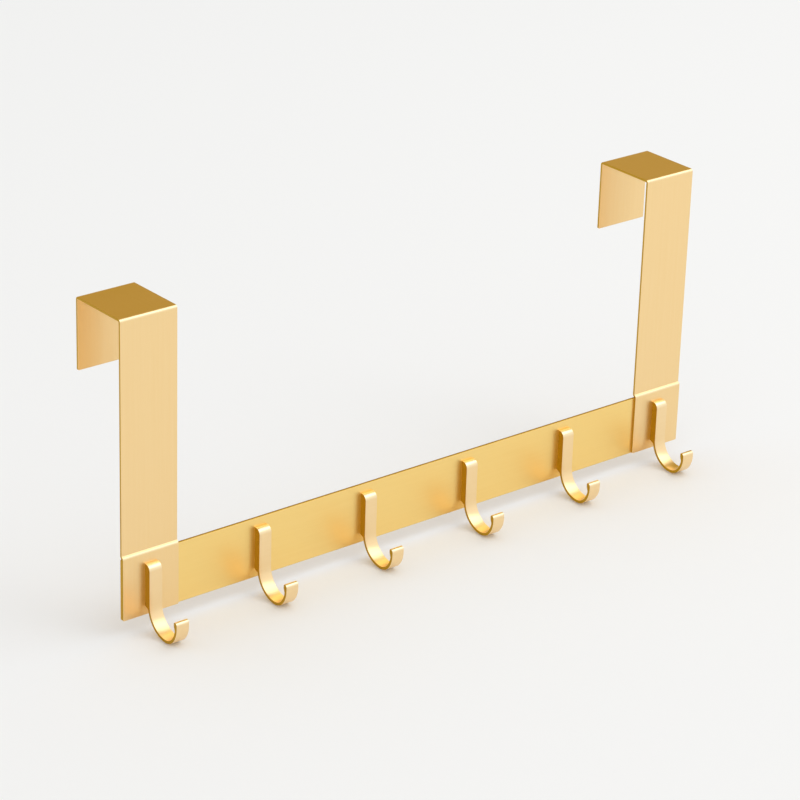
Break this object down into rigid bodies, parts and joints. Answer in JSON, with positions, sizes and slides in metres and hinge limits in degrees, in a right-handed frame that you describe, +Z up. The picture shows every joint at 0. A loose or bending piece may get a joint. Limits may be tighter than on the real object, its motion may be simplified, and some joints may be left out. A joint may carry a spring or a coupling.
{
  "type": "over-door coat hook rail",
  "caption": "Flat metal rail that hangs from two folded straps over the top of a door, with a row of J-shaped coat hooks on its front, each ending in a beaded lip.",
  "frame": {"origin": "on the top front edge of the door, halfway between the two straps", "axes": "+X along the rail to the viewer's right, -Y out of the door's front into the room, +Z up"},
  "size_m": [0.45, 0.0791, 0.2025],
  "materials": {
    "gold_anodised": "satin gold anodised sheet",
    "gold_extrusion": "satin gold anodised extrusion",
    "screw_steel": "zinc plated"
  },
  "bodies": {
    "root": {"rail_plate": "gold_anodised", "left_strap": "gold_anodised", "right_strap": "gold_anodised", "hook_1": "gold_extrusion", "hook_2": "gold_extrusion", "hook_3": "gold_extrusion", "hook_4": "gold_extrusion", "hook_5": "gold_extrusion", "hook_6": "gold_extrusion", "end_hook_screws": "screw_steel", "middle_hook_screws": "screw_steel"}
  },
  "joints": []
}
